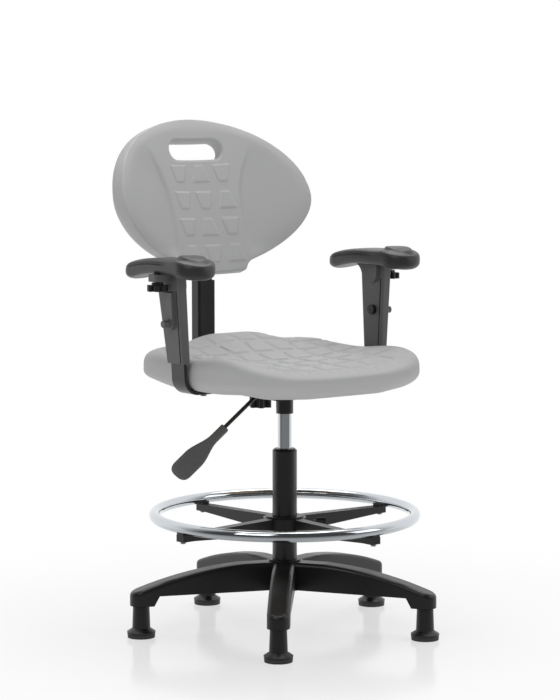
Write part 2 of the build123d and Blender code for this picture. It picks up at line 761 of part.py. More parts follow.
def arm_bar():
    """Flat bar from under the seat, bent up into the arm."""
    path = FilletPolyline((arm_foot_inner, arm_y, foot_level), (arm_axis_x(foot_level), arm_y, foot_level),
                          (arm_axis_x(arm_bar_top), arm_y, arm_bar_top), radius=arm_bend)
    section = Plane(origin=path @ 0, x_dir=(0, 1, 0), z_dir=path % 0)
    return sweep(section * Rectangle(arm_bar_width, arm_bar_thickness), path=path)


def arm_channel():
    """Straight channel inside the sleeve for the bar, over the whole travel."""
    half_x = arm_bar_thickness / 2 + slide_gap
    half_y = arm_bar_width / 2 + slide_gap
    top = (arm_bar_top - seat_underside) / cos(splay) + arm_down + 2
    return arm_frame * block(-half_x, half_x, arm_y - half_y, arm_y + half_y, 0, top)


def arm_bolt_hole(radius, low=0.0, high=0.0):
    """Cross hole for the arm bolt, drawn out along the bar into a slot."""
    slot = Pos(0, arm_y, bolt_z + (high - low) / 2) * Rot(0, 90, 0)
    length = low + high + 2 * radius
    plan = SlotOverall(length, 2 * radius) if low + high > 0 else Circle(radius)
    return arm_frame * slot * extrude(plan, 3 * arm_bar_width / 2, both=True)


def arm_tongue(drop_to, top, side):
    """Raised tongue on one face of the sleeve, round at its lower end."""
    low = (drop_to - seat_underside) / cos(splay)
    high = (top - seat_underside) / cos(splay)
    half = arm_tongue_width / 2
    reach = side * (arm_face + arm_tongue_reach)
    tongue = block(0, reach, arm_y - half, arm_y + half, low, high)
    return arm_frame * (tongue + Pos(0, arm_y, low) * Rot(0, 90 * side, 0) * post(half, 0, abs(reach)))


def arm_sleeve():
    """Tapered moulded sleeve with a flared top, a knob boss, tongues on its faces and front seams."""
    low = Pos(arm_axis_x(arm_sleeve_bottom), arm_y, arm_sleeve_bottom)
    high = Pos(arm_axis_x(arm_sleeve_top), arm_y + arm_sleeve_rake, arm_sleeve_top)
    sleeve = loft([low * RectangleRounded(*arm_sleeve_low, arm_corner),
                   high * RectangleRounded(*arm_sleeve_high, arm_corner)])
    rear = arm_y + arm_sleeve_rake + arm_sleeve_high[1] / 2
    root = rear - arm_sleeve_high[1] / 4
    flare_low = arm_sleeve_top - arm_flare
    start = (0, rear - arm_corner, flare_low)
    tip = (0, rear + arm_flare_rear, arm_sleeve_top)
    waist = (0, rear + arm_flare_rear / 5, arm_sleeve_top - arm_flare / 3)
    edge = Polyline(tip, (0, root, arm_sleeve_top), (0, root, flare_low), start)
    flare = extrude(make_face(ThreePointArc(start, waist, tip) + edge), arm_flare_width / 2, both=True)
    sleeve += Pos(arm_axis_x(arm_sleeve_top - arm_flare / 2), 0, 0) * flare
    boss_plan = RectangleRounded(arm_boss_x + arm_boss_width / 2, arm_boss_width, arm_corner)
    boss_x = arm_knob_x - (arm_boss_x - arm_boss_width / 2) / 2
    boss_low = arm_sleeve_top - arm_boss_height
    sleeve += Pos(boss_x, arm_knob_y, boss_low) * extrude(boss_plan, arm_boss_height)
    sleeve += arm_tongue(arm_bolt_level, boss_low - arm_knob_height - 2 * knob_gap, 1)
    inner_low = arm_sleeve_top - arm_tongue_drop + arm_tongue_width / 2
    sleeve += arm_tongue(inner_low, arm_sleeve_top - knob_gap, -1)
    sleeve -= Pos(arm_knob_x, arm_knob_y, 0) * post(arm_stud_radius + slide_gap, boss_low - 1,
                                                    arm_sleeve_top + 1)
    seam_y = arm_y - arm_sleeve_low[1] / 2 + arm_seam_inset
    seam_top = (flare_low - seat_underside) / cos(splay)
    seam_floor = arm_sleeve_low[0] / 2 - arm_seam_depth
    for side in (-1, 1):
        seam = block(side * seam_floor, side * arm_sleeve_high[0], seam_y, seam_y + arm_seam_width, 0,
                     seam_top)
        sleeve -= arm_frame * seam
    sleeve -= (arm_frame * Pos(-arm_face + arm_spot, arm_y, bolt_z) * Rot(0, -90, 0)
               * post(arm_nut_radius + press_gap, 0, arm_nut_height))
    sleeve -= arm_bolt_hole(arm_bolt_radius + press_gap)
    return sleeve - arm_channel()


def arm_pad_solid():
    """Pad with a flat middle, drooping ends and a wide front, as two crossed outlines."""
    front = arm_pad_y - arm_pad_length / 2
    rear = arm_pad_y + arm_pad_length / 2
    flat_front = arm_y + arm_pad_flat[0]
    flat_rear = arm_y + arm_pad_flat[1]

    def curve(level):
        nose = (0, front, level - arm_pad_droop_front)
        tail = (0, rear, level - arm_pad_droop_rear)
        return [TangentArc((0, flat_front, level), nose, tangent=(0, -1, 0)),
                Line((0, flat_front, level), (0, flat_rear, level)),
                TangentArc((0, flat_rear, level), tail, tangent=(0, 1, 0))]

    low = curve(arm_sleeve_top)
    high = curve(arm_sleeve_top + arm_pad_thickness)
    ends = [Line(low[0] @ 1, high[0] @ 1), Line(low[2] @ 1, high[2] @ 1)]
    side = extrude(make_face(low + high + ends), arm_pad_width, both=True)
    wide = Pos(0, front + arm_pad_width / 2) * Circle(arm_pad_width / 2)
    narrow = Pos(0, rear - arm_pad_tail / 2) * Circle(arm_pad_tail / 2)
    plan = make_hull(wide.edges() + narrow.edges())
    pad = side & (Pos(0, 0, arm_sleeve_top / 2) * extrude(plan, arm_sleeve_top))
    rims = [e for e in pad.edges() if abs(e.tangent_at(0.5).Z) < 0.9]
    return fillet(rims, arm_pad_round)


arm_knob_x = arm_axis_x(arm_sleeve_top) + arm_boss_x
arm_knob_y = arm_y + arm_knob_rear
bolt_share = (arm_bolt_level - arm_sleeve_bottom) / (arm_sleeve_top - arm_sleeve_bottom)
arm_face = (arm_sleeve_low[0] + (arm_sleeve_high[0] - arm_sleeve_low[0]) * bolt_share) / 2
pad_place = Pos(arm_axis_x(arm_sleeve_top) + arm_pad_shift, 0, 0)
plate_plan = RectangleRounded(arm_plate_width, arm_plate_length, arm_plate_corner)
plate_top = arm_sleeve_top + arm_plate_thickness
plate_place = pad_place * Pos(0, arm_y + arm_plate_shift, arm_sleeve_top)
pad_plate = plate_place * extrude(plate_plan, arm_plate_thickness)
pad_plate += Pos(arm_knob_x, arm_knob_y, 0) * post(arm_plate_boss, arm_sleeve_top, plate_top)
stud_hole = Pos(arm_knob_x, arm_knob_y, 0) * post(arm_stud_radius + running_gap, arm_sleeve_top - 1,
                                                  plate_top + 1)
arm_pieces = {
    "arm_bracket": arm_bar() - arm_bolt_hole(arm_bolt_radius + slide_gap, arm_down, arm_up),
    "arm_sleeve": arm_sleeve(),
    "arm_pad_plate": pad_plate - stud_hole,
    "arm_pad": pad_place * arm_pad_solid() - pad_plate,
    "arm_knob": Pos(arm_knob_x, arm_knob_y, arm_sleeve_top - arm_boss_height - knob_gap)
    * lobed_knob(arm_knob_radius, arm_knob_height, 7, arm_stud_radius,
                 knob_gap + arm_boss_height + arm_plate_thickness),
}
bolt_start = Pos(-arm_face + arm_spot, arm_y, bolt_z) * Rot(0, 90, 0)
shank_length = 2 * arm_face - arm_spot + arm_tongue_reach
arm_bolt = post(arm_bolt_radius, 0, shank_length + arm_washer)
arm_bolt += post(arm_washer_radius, shank_length, shank_length + arm_washer)
arm_bolt += post(arm_bolt_head, shank_length + arm_washer, shank_length + arm_bolt_reach)
arm_pieces["arm_bolt"] = arm_frame * bolt_start * arm_bolt
nut = post(arm_nut_radius, -arm_nut_height, 0)
nut -= post(arm_nut_dimple, -arm_nut_height, -arm_nut_height + 2 * arm_nut_dimple)
arm_pieces["arm_nut"] = arm_frame * bolt_start * nut
foot_bolts = Part()
for x in arm_bolts_x:
    bolt = post(seat_bolt_radius, seat_underside - arm_bar_thickness, seat_underside + seat_bolt_grip)
    bolt += post(bolt_head_radius, seat_underside - arm_bar_thickness - bolt_head_height,
                 seat_underside - arm_bar_thickness)
    hole = Pos(x, arm_y, 0) * post(seat_bolt_radius + press_gap, 0, seat_underside + seat_bolt_grip)
    foot_bolts += Pos(x, arm_y, 0) * bolt
    arm_pieces["arm_bracket"] -= hole
    for side in (hole, mirror(hole, Plane.YZ)):
        board -= side
        parts["seat_cushion"] -= side
arm_pieces["arm_foot_bolts"] = foot_bolts
for name, solid in arm_pieces.items():
    parts[f"{name}_left"] = solid
    parts[f"{name}_right"] = mirror(solid, Plane.YZ)
parts["seat_board"] = board


# Foot ring: chrome ring on a four-spoke spider, held to the column by a split collet and a knob
ring_low = ring_level - ring_tube_radius
hub_low = ring_hub_top - ring_hub_height
spoke_tip_low = ring_low - saddle_floor - spoke_tip_height


def spoke():
    """Tapered spoke along +X with a hollow underside and a saddle under the ring."""
    reach = ring_radius + spoke_overhang
    tip_top = ring_low - saddle_floor
    start = collet_radius + spoke_wall
    tip = ring_radius - saddle_length
    side = make_face(Polyline((start, 0, ring_hub_top), (reach, 0, tip_top), (reach, 0, spoke_tip_low),
                              (tip, 0, spoke_tip_low), (start, 0, hub_low), close=True))
    arm = extrude(side, spoke_width / 2, both=True)
    hollow = make_face(Polyline((ring_hub_radius, 0, ring_hub_top - 2 * spoke_wall),
                                (tip, 0, tip_top - spoke_wall), (tip, 0, 0), (ring_hub_radius, 0, 0),
                                close=True))
    arm -= extrude(hollow, spoke_width / 2 - spoke_wall, both=True)
    half_saddle = spoke_width / 2 - spoke_wall / 2
    saddle = block(ring_radius - saddle_length / 2, reach, -half_saddle, half_saddle, tip_top - spoke_wall,
                   ring_low + saddle_rise)
    return arm + saddle


def bent_ring(tube_radius):
    """Bar bent round the column, its butt seam between two spokes."""
    turn = 360 - degrees(ring_seam / ring_radius)
    ring = revolve(Plane.XZ * Pos(ring_radius, ring_level) * Circle(tube_radius), Axis.Z, turn)
    return Rot(0, 0, spoke_phase - 180 / spoke_count) * ring


spider = post(ring_hub_radius, hub_low, ring_hub_top)
one_spoke = spoke()
spoke_angles = [spoke_phase + 360 / spoke_count * k for k in range(spoke_count)]
for angle in spoke_angles:
    spider += Rot(0, 0, angle) * one_spoke
spider -= bent_ring(ring_tube_radius + press_gap)
spider -= post(collet_radius + press_gap, 0, column_top)
knob_turn = Rot(0, 0, ring_knob_angle) * Pos(ring_hub_radius, 0, ring_knob_level) * Rot(0, -90, 0)
spider -= knob_turn * post(stud_radius + slide_gap, -1, ring_hub_radius - collet_radius)

ring = bent_ring(ring_tube_radius)
ring_screws = []
screw_high = ring_low + ring_screw_bite
for angle in spoke_angles:
    spot = Rot(0, 0, angle) * Pos(ring_radius, 0, 0)
    hole = spot * post(ring_screw_radius + press_gap, hub_low, screw_high)
    spider -= hole
    ring -= hole
    ring_screws.append(spot * (post(ring_screw_radius, spoke_tip_low, screw_high)
                               + post(ring_screw_head, spoke_tip_low - ring_screw_cap, spoke_tip_low)))
parts["footring_spider"] = spider
parts["footring_tube"] = ring
parts["footring_screws"] = Compound(children=ring_screws)

collet = post(collet_radius, hub_low, ring_hub_top)
collet += post(collet_flange, ring_hub_top, ring_hub_top + collet_flange_height)
collet -= post(column_radius + slide_gap, 0, column_top)
collet -= block(-column_top, 0, -collet_split / 2, collet_split / 2, 0, column_top)
parts["footring_collet"] = collet
knob_out = Pos(0, 0, -ring_knob_reach)
parts["footring_knob"] = knob_turn * knob_out * lobed_knob(
    ring_knob_radius, ring_knob_height, 5, stud_radius,
    ring_knob_reach + ring_hub_radius - collet_radius - slide_gap / 2)

if __name__ == "__main__":
    os.makedirs("parts", exist_ok=True)
    for name, solid in parts.items():
        export_step(solid, f"parts/{name}.step")
        print(name, round(solid.volume / 1000, 1), "cm3")
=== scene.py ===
# %% [markdown]
# A drafting chair, dressed
#
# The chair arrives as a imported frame: every rigid piece is already in its place, at its real size.
# This lesson gives each surface its finish, and models the soft pieces (seat, back and arm pads)
# and the lever's grip as surfaces worked out with numpy. Lengths are in metres; the sitter faces -Y
# and Z is up.

# %% Load the frame
import json
from math import cos, pi, radians, sin

import bpy
import numpy as np
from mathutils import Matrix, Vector


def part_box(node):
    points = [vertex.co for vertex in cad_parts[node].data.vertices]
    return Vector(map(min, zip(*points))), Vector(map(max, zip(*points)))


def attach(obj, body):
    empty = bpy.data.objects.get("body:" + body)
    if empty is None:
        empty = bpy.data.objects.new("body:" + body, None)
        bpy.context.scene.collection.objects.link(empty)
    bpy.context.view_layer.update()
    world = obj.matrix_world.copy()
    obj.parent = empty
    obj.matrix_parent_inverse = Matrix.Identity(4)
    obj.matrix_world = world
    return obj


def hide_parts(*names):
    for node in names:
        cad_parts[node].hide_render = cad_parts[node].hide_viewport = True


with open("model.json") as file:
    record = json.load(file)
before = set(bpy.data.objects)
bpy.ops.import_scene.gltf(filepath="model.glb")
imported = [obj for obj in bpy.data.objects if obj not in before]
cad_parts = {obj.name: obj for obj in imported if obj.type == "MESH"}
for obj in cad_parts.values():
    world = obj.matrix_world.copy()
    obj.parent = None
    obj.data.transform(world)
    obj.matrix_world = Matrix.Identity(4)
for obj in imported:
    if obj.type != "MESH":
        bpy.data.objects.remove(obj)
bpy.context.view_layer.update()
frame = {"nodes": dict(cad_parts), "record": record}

# %% [markdown]
# The photograph was taken from the front right of the sitter, a little above the arm pads, with a
# long lens from about five metres. A long lens keeps the legs of the base nearly parallel, so the
# camera stands far away and tilts down by a few degrees. A small sideways shift of the lens frames
# the chair as the photograph does, without turning the camera.

# %% Camera
PHOTO_WIDTH = 560
PHOTO_HEIGHT = 700
view_azimuth = radians(-37.0)
camera_distance = 4.95
camera_height = 1.078
camera_tilt = radians(5.83)
focal_pixels = 2458.0
sensor_mm = 36.0
axis_offset_pixels = 4.7

camera_data = bpy.data.cameras.new("camera")
camera_data.sensor_width = sensor_mm
camera_data.lens = focal_pixels * sensor_mm / PHOTO_HEIGHT
camera_data.shift_x = -axis_offset_pixels / PHOTO_HEIGHT
camera = bpy.data.objects.new("camera", camera_data)
camera.location = (sin(view_azimuth) * camera_distance,
                   -cos(view_azimuth) * camera_distance,
                   camera_height)
camera.rotation_euler = (pi / 2 - camera_tilt, 0, view_azimuth)
bpy.context.scene.collection.objects.link(camera)
bpy.context.scene.camera = camera
bpy.context.scene.view_settings.view_transform = "Standard"
print("camera lens", round(camera_data.lens, 1), "mm for", PHOTO_WIDTH, "by", PHOTO_HEIGHT, "pixels")

# %% [markdown]
# Studio light comes from all around. The chair stands in front of a white sweep, with a darker room
# behind the camera. An evenly white world would be simpler, but chrome and black gloss would then
# have nothing dark to mirror. So the world depends on the kind of ray: the camera sees plain white,
# a shiny surface sees white towards the sweep and grey towards the room, and a matt surface gets an
# even, weak light. These small helpers join the shader nodes for that.

# %% Shader helpers
MIX_LOW = 2
MIX_HIGH = 3
sweep_direction = (-sin(view_azimuth), cos(view_azimuth), 0.0)


def blend_value(tree, factor, low, high):
    """low where factor is 0 and high where it is 1; each may be a number or a socket."""
    mix = tree.nodes.new("ShaderNodeMix")
    tree.links.new(factor, mix.inputs["Factor"])
    for value, place in ((low, MIX_LOW), (high, MIX_HIGH)):
        if isinstance(value, float):
            mix.inputs[place].default_value = value
        else:
            tree.links.new(value, mix.inputs[place])
    return mix.outputs[0]


def larger(tree, first, second):
    """The larger of two sockets."""
    node = tree.nodes.new("ShaderNodeMath")
    node.operation = "MAXIMUM"
    tree.links.new(first, node.inputs[0])
    tree.links.new(second, node.inputs[1])
    return node.outputs[0]


def towards_sweep(tree, place):
    """How far a place or direction lies towards the sweep: its dot product with the level view line."""
    node = tree.nodes.new("ShaderNodeVectorMath")
    node.operation = "DOT_PRODUCT"
    node.inputs[1].default_value = sweep_direction
    tree.links.new(place, node.inputs[0])
    return node.outputs["Value"]


def climb(tree, value, start, end, low):
    """low before start, 1 after end, and the smooth curve 3t^2 - 2t^3 between them."""
    node = tree.nodes.new("ShaderNodeMapRange")
    node.interpolation_type = "SMOOTHSTEP"
    node.inputs["From Min"].default_value = start
    node.inputs["From Max"].default_value = end
    node.inputs["To Min"].default_value = low
    tree.links.new(value, node.inputs["Value"])
    return node.outputs[0]


print("sweep lies towards", np.round(sweep_direction, 2))

# %% World
ambient_strength = 0.26
room_strength = 0.07
room_edge = -0.45
sweep_edge = 0.5

world = bpy.data.worlds.new("studio")
bpy.context.scene.world = world
world.use_nodes = True
sky = world.node_tree
sky.nodes.clear()
sky_direction = sky.nodes.new("ShaderNodeTexCoord").outputs["Generated"]
mirrored_sky = climb(sky, towards_sweep(sky, sky_direction), room_edge, sweep_edge, room_strength)
rays = sky.nodes.new("ShaderNodeLightPath")
unseen = blend_value(sky, rays.outputs["Is Glossy Ray"], ambient_strength, mirrored_sky)
seen = larger(sky, rays.outputs["Is Camera Ray"], rays.outputs["Is Transmission Ray"])
studio = sky.nodes.new("ShaderNodeBackground")
studio.inputs["Color"].default_value = (1, 1, 1, 1)
sky.links.new(blend_value(sky, seen, unseen, 1.0), studio.inputs["Strength"])
sky_out = sky.nodes.new("ShaderNodeOutputWorld")
sky.links.new(studio.outputs[0], sky_out.inputs[0])
print("world:", len(sky.nodes), "shader nodes")

# %% [markdown]
# Three large lamps give the shapes their shading: the key from the sitter's right, a weaker fill from
# the left, and the strongest one overhead, which lights the seat and the tops of the legs. Area lamps
# are chosen because large soft boxes cast the soft shadows that the photograph shows; sun or point
# lamps would cast hard ones.


# %% Lamps
def area_lamp(name, place, aim, width, height, power):
    """Rectangular lamp at a place, turned to face a point."""
    data = bpy.data.lights.new(name, "AREA")
    data.shape = "RECTANGLE"
    data.size = width
    data.size_y = height
    data.energy = power
    lamp = bpy.data.objects.new(name, data)
    lamp.location = place
    lamp.rotation_euler = (Vector(aim) - Vector(place)).to_track_quat("-Z", "Y").to_euler()
    bpy.context.scene.collection.objects.link(lamp)


chair_middle = (0, 0.05, 0.6)
area_lamp("key", place=(-2.6, -1.2, 2.6), aim=chair_middle, width=1.8, height=1.8, power=23)
area_lamp("fill", place=(1.9, -2.6, 1.7), aim=chair_middle, width=1.6, height=2.0, power=15)
area_lamp("top", place=(0.3, 0.4, 3.0), aim=chair_middle, width=2.2, height=2.2, power=56)
print("lamps:", len(bpy.data.lights))

# %% [markdown]
# The floor is the front of the sweep. Near the chair it has soft contact shadows and faint mirror
# images of the feet, and further out it is as white as the background. Paint alone would turn grey
# where the lamps don't reach, so the floor mixes a smooth white paint with a glow, and the glow takes
# over with distance. The glow is white to the camera. It darkens towards the room for glossy rays, as
# the world does, and it is a little stronger than white for matt rays, because a studio floor throws
# light up under a chair.

# %% Floor
bounce_strength = 1.2
floor_colour = (0.93, 0.935, 0.935, 1)
floor_roughness = 0.14
floor_specular = 0.6
dusk_start = -0.7
dusk_end = 0.5
dusk_strength = 0.25
glow_start = 0.35
glow_end = 1.15
glow_least = 0.58
floor_half = 12.0


def glow_strength(tree, place):
    """Bounce strength for matt rays, white for camera rays, and a climb towards the sweep for glossy ones."""
    path = tree.nodes.new("ShaderNodeLightPath")
    dusk = climb(tree, towards_sweep(tree, place), dusk_start, dusk_end, dusk_strength)
    viewed = blend_value(tree, path.outputs["Is Glossy Ray"], 1.0, dusk)
    camera_or_glossy = larger(tree, path.outputs["Is Camera Ray"], path.outputs["Is Glossy Ray"])
    direct = larger(tree, camera_or_glossy, path.outputs["Is Transmission Ray"])
    return blend_value(tree, direct, bounce_strength, viewed)


def floor_material():
    """Smooth white paint mixed with a glow, whose share climbs with the distance from the chair."""
    material = bpy.data.materials.new("floor_white")
    material.use_nodes = True
    tree = material.node_tree
    paint = tree.nodes["Principled BSDF"]
    paint.inputs["Base Color"].default_value = floor_colour
    paint.inputs["Roughness"].default_value = floor_roughness
    paint.inputs["Specular IOR Level"].default_value = floor_specular
    place = tree.nodes.new("ShaderNodeTexCoord").outputs["Object"]
    glow = tree.nodes.new("ShaderNodeEmission")
    tree.links.new(glow_strength(tree, place), glow.inputs["Strength"])
    distance = tree.nodes.new("ShaderNodeVectorMath")
    distance.operation = "LENGTH"
    tree.links.new(place, distance.inputs[0])
    glow_share = climb(tree, distance.outputs["Value"], glow_start, glow_end, glow_least)
    mix = tree.nodes.new("ShaderNodeMixShader")
    tree.links.new(glow_share, mix.inputs[0])
    tree.links.new(paint.outputs[0], mix.inputs[1])
    tree.links.new(glow.outputs[0], mix.inputs[2])
    tree.links.new(mix.outputs[0], tree.nodes["Material Output"].inputs["Surface"])
    return material


floor_mesh = bpy.data.meshes.new("floor")
corners = [(-floor_half, -floor_half, 0), (floor_half, -floor_half, 0),
           (floor_half, floor_half, 0), (-floor_half, floor_half, 0)]
floor_mesh.from_pydata(corners, [], [(0, 1, 2, 3)])
floor_mesh.materials.append(floor_material())
floor = bpy.data.objects.new("floor", floor_mesh)
bpy.context.scene.collection.objects.link(floor)
print("floor:", 2 * floor_half, "m wide")

# %% [markdown]
# Every rigid piece keeps its mesh and only gets a finish. On the real chair these are black moulded
# plastic, coated steel, chrome, zinc, rubber and foam. A photographed texture could be laid on each,
# but plain finishes like these need only a colour, a roughness that drifts a little from place to
# place, and a fine grain in the bump for what is moulded. One small function makes all of them. The
# patterns read Object coordinates, so they stay put when a piece moves.

# %% Finish material
drift_scale = 14.0
drift_detail = 3.0
drift_range = 0.06
least_roughness = 0.02
coat_roughness = 0.12
grain_detail = 4.0
grain_strength = 0.5


def finish_material(name, colour, roughness, metallic=0.0, grain_scale=0.0, grain_depth=0.0, coat=0.0):
    """Material with a drifting roughness (slow noise) and, where asked, a grain (fine noise in the bump)."""
    material = bpy.data.materials.new(name)
    material.use_nodes = True
    tree = material.node_tree
    paint = tree.nodes["Principled BSDF"]
    paint.inputs["Base Color"].default_value = (*colour, 1)
    paint.inputs["Metallic"].default_value = metallic
    paint.inputs["Coat Weight"].default_value = coat
    paint.inputs["Coat Roughness"].default_value = coat_roughness
    coords = tree.nodes.new("ShaderNodeTexCoord")
    drift = tree.nodes.new("ShaderNodeTexNoise")
    drift.inputs["Scale"].default_value = drift_scale
    drift.inputs["Detail"].default_value = drift_detail
    tree.links.new(coords.outputs["Object"], drift.inputs["Vector"])
    spread = tree.nodes.new("ShaderNodeMapRange")
    spread.inputs["To Min"].default_value = max(least_roughness, roughness - drift_range)
    spread.inputs["To Max"].default_value = min(1.0, roughness + drift_range)
    tree.links.new(drift.outputs["Fac"], spread.inputs["Value"])
    tree.links.new(spread.outputs[0], paint.inputs["Roughness"])
    if grain_depth:
        grain = tree.nodes.new("ShaderNodeTexNoise")
        grain.inputs["Scale"].default_value = grain_scale
        grain.inputs["Detail"].default_value = grain_detail
        tree.links.new(coords.outputs["Object"], grain.inputs["Vector"])
        bump = tree.nodes.new("ShaderNodeBump")
        bump.inputs["Strength"].default_value = grain_strength
        bump.inputs["Distance"].default_value = grain_depth
        tree.links.new(grain.outputs["Fac"], bump.inputs["Height"])
        tree.links.new(bump.outputs[0], paint.inputs["Normal"])
    return material


print("roughness drifts by", drift_range, "either way")

# %% [markdown]
# The frame's record says which finish each piece has, so the pieces can be dressed in one loop. There
# are two exceptions. The lever's rod and the nuts of the arms are black like the steel round them. The
# arm sleeves with their bolts get a duller plastic whose black is lightened to grey as a painted sheen
# of the bright studio.

# %% Finishes on the rigid pieces
finish_settings = {
    "black_plastic": dict(colour=(0.007, 0.007, 0.007), roughness=0.34, grain_scale=900, grain_depth=0.0001),
    # The grey of the next plastic is a painted sheen: black plastic lightened to stand in for the bright
    # studio mirrored in it.
    "painted_sheen_plastic": dict(colour=(0.09, 0.09, 0.09), roughness=0.5, grain_scale=900, grain_depth=0.0002),
    "knob_plastic": dict(colour=(0.012, 0.012, 0.012), roughness=0.36),
    "foot_pad": dict(colour=(0.03, 0.03, 0.03), roughness=0.6),
    "black_steel": dict(colour=(0.009, 0.009, 0.009), roughness=0.34, coat=0.2),
    "chrome": dict(colour=(0.62, 0.65, 0.68), roughness=0.08, metallic=1.0),
    "zinc_steel": dict(colour=(0.5, 0.5, 0.5), roughness=0.32, metallic=1.0),
    "bumper_rubber": dict(colour=(0.05, 0.05, 0.05), roughness=0.75),
    "plywood": dict(colour=(0.5, 0.36, 0.22), roughness=0.6, grain_scale=200, grain_depth=0.0002),
    "moulded_foam": dict(colour=(0.395, 0.397, 0.397), roughness=0.62, grain_scale=1500, grain_depth=0.00025),
    "arm_foam": dict(colour=(0.024, 0.024, 0.025), roughness=0.38, grain_scale=1500, grain_depth=0.0002),
}
finishes = {name: finish_material(name, **settings) for name, settings in finish_settings.items()}
blackened = ("lever_rod", "arm_nut_left", "arm_nut_right")
# The sleeves and their bolts get the plastic with the painted sheen.
sheen_painted_parts = ("arm_sleeve_left", "arm_sleeve_right", "arm_bolt_left", "arm_bolt_right")
finish_of = {part["node"]: part["material_slot"] for part in frame["record"]["subparts"]}
finish_of |= dict.fromkeys(blackened, "black_steel") | dict.fromkeys(sheen_painted_parts, "painted_sheen_plastic")
for node, piece in frame["nodes"].items():
    piece.data.materials.clear()
    piece.data.materials.append(finishes[finish_of[node]])
print("finishes:", len(finishes), "on", len(frame["nodes"]), "pieces")

# %% [markdown]
# The seat, the back and the arm pads are moulded foam with a skin. They could be sculpted, or blown
# up by a cloth simulation, but moulded foam keeps the shape of its mould, so each one is a surface
# worked out with numpy on a grid and put into a mesh as it is. The first helpers turn grids of points
# into smooth meshes and hide the CAD piece that each mesh stands for.


def smoothstep(value, start, end):
    """0 before start, 1 after end, and 3t^2 - 2t^3 between them."""
    t = np.clip((value - start) / (end - start), 0, 1)
    return t * t * (3 - 2 * t)


def grid_quads(index):
    """Four-sided faces between neighbouring rows and columns of an array of point numbers."""
    return np.stack([index[:-1, :-1], index[1:, :-1], index[1:, 1:], index[:-1, 1:]], -1).reshape(-1, 4)


def smooth_object(name, points, faces, finish):
    """Smooth mesh object at the origin, with one finish."""
    mesh = bpy.data.meshes.new(name)
    mesh.from_pydata(points.tolist(), [], faces)
    mesh.polygons.foreach_set("use_smooth", np.ones(len(mesh.polygons), bool))
    mesh.materials.append(finishes[finish])
    mesh.update()
    piece = bpy.data.objects.new(name, mesh)
    bpy.context.scene.collection.objects.link(piece)
    print(name, len(mesh.vertices), "points,", len(mesh.polygons), "faces")
    return piece


def soft_piece(name, points, faces, slot, body, node):
    """Smooth object that rides a body, hides the CAD node that it stands for, and gets the given foam finish.
    """
    piece = smooth_object(name, points, faces, slot)
    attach(piece, body)
    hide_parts(node)


# %% [markdown]
# The seat and the pads are closed in the same way: a top that rolls over at its outline, a few rings
# of points below the outline, and a flat cap. A round grid with a pole in the middle would pinch
# there, so the top is a square grid squeezed onto the plan. The roll is a superellipse, a curve
# between an ellipse and a rectangle, and its points are spaced evenly along it.

# %% Disc helpers
profile_samples = 4001
profile_bunching = 2.2


def disc_grid(count, half_x, half_y, radius_at):
    """Square grid squeezed onto a disc: each square ring becomes the outline, scaled by its share.

    Returns the share of each point (0 in the middle, 1 on the outline), its direction and the
    outline's radius in that direction."""
    side = np.linspace(-1, 1, count)
    u, v = np.meshgrid(side, side, indexing="ij")
    share = np.maximum(np.abs(u), np.abs(v))
    turn = np.arctan2(v * half_y, u * half_x)
    return share, turn, radius_at(turn)


def rolled_angle(share, span, depth, square):
    """Even steps along a rounded profile q^m + h^m = 1, given its span and depth in metres.

    The profile's angle runs from 0 in the middle to a right angle on the outline, q = sin^(2/m) is
    the distance out and h = cos^(2/m) the height, and the angle is picked so that equal shares are
    equal lengths along the profile."""
    angle = (np.linspace(0, 1, profile_samples) ** profile_bunching) * pi / 2
    q = np.sin(angle) ** (2 / square)
    h = np.cos(angle) ** (2 / square)
    length = np.concatenate([[0], np.cumsum(np.hypot(span * np.diff(q), depth * np.diff(h)))])
    return np.interp(share * length[-1], length, angle)


def ring_numbers(count):
    """Numbers of the outer points of a count by count grid, in order, anticlockwise from above."""
    index = np.arange(count * count).reshape(count, count)
    return np.concatenate([index[:-1, 0], index[-1, :-1], index[:0:-1, -1], index[0, :0:-1]])


def closed_below(top_points, count, rings):
    """Points and faces of a disc grid closed by rings of points below its outline and a flat cap."""
    outline = ring_numbers(count)
    first = len(top_points)
    ring_index = first + np.arange(rings.shape[0] * len(outline)).reshape(rings.shape[0], -1)
    index = np.concatenate([outline[None], ring_index])
    index = np.concatenate([index, index[:, :1]], axis=1)
    faces = grid_quads(np.arange(first).reshape(count, count)).tolist() + grid_quads(index).tolist()
    faces.append(ring_index[-1][::-1].tolist())
    return np.concatenate([top_points, rings.reshape(-1, 3)]), faces


print("profiles are measured with", profile_samples, "samples")

# %% [markdown]
# The seat is a rounded square of foam. Its front middle is low, so that it doesn't press under the
# thighs, while its front corners and the middle of its rear climb. A sculpted block could have the
# same form, but here each feature is one line: the plan is a superellipse (a square with very round
# corners), and the height is a low level with two smooth climbs on it.

# %% Seat shape
seat_half_x = 0.2355
seat_half_y = 0.220
seat_middle_y = 0.012
seat_square = 5.0
seat_low = 0.550
rear_climb = 0.054
rear_climb_along = (-0.1, 0.95)
rear_climb_lost = 0.38
rear_climb_across = (0.16, 0.56)
side_climb = 0.056
side_climb_along = (-0.8, 1.05)


def seat_radius(turn):
    """Superellipse |x/a|^p + |y/b|^p = 1 in polar form."""
    return (np.abs(np.cos(turn) / seat_half_x) ** seat_square
            + np.abs(np.sin(turn) / seat_half_y) ** seat_square) ** (-1 / seat_square)


def seat_top(x, y):
    """Height of the sitting surface: a low level, plus a climb to the rear that is strongest in the
    middle, plus a climb of the sides that is strongest in front and grows with the cube of x."""
    across = np.abs(x / seat_half_x)
    along = y / seat_half_y
    kept = 1 - rear_climb_lost * smoothstep(across, *rear_climb_across)
    rear = rear_climb * smoothstep(along, *rear_climb_along) * kept
    sides = side_climb * (1 - smoothstep(along, *side_climb_along)) * across ** 3
    return seat_low + rear + sides


print("seat", 2 * seat_half_x, "m wide and", 2 * seat_half_y, "m deep")

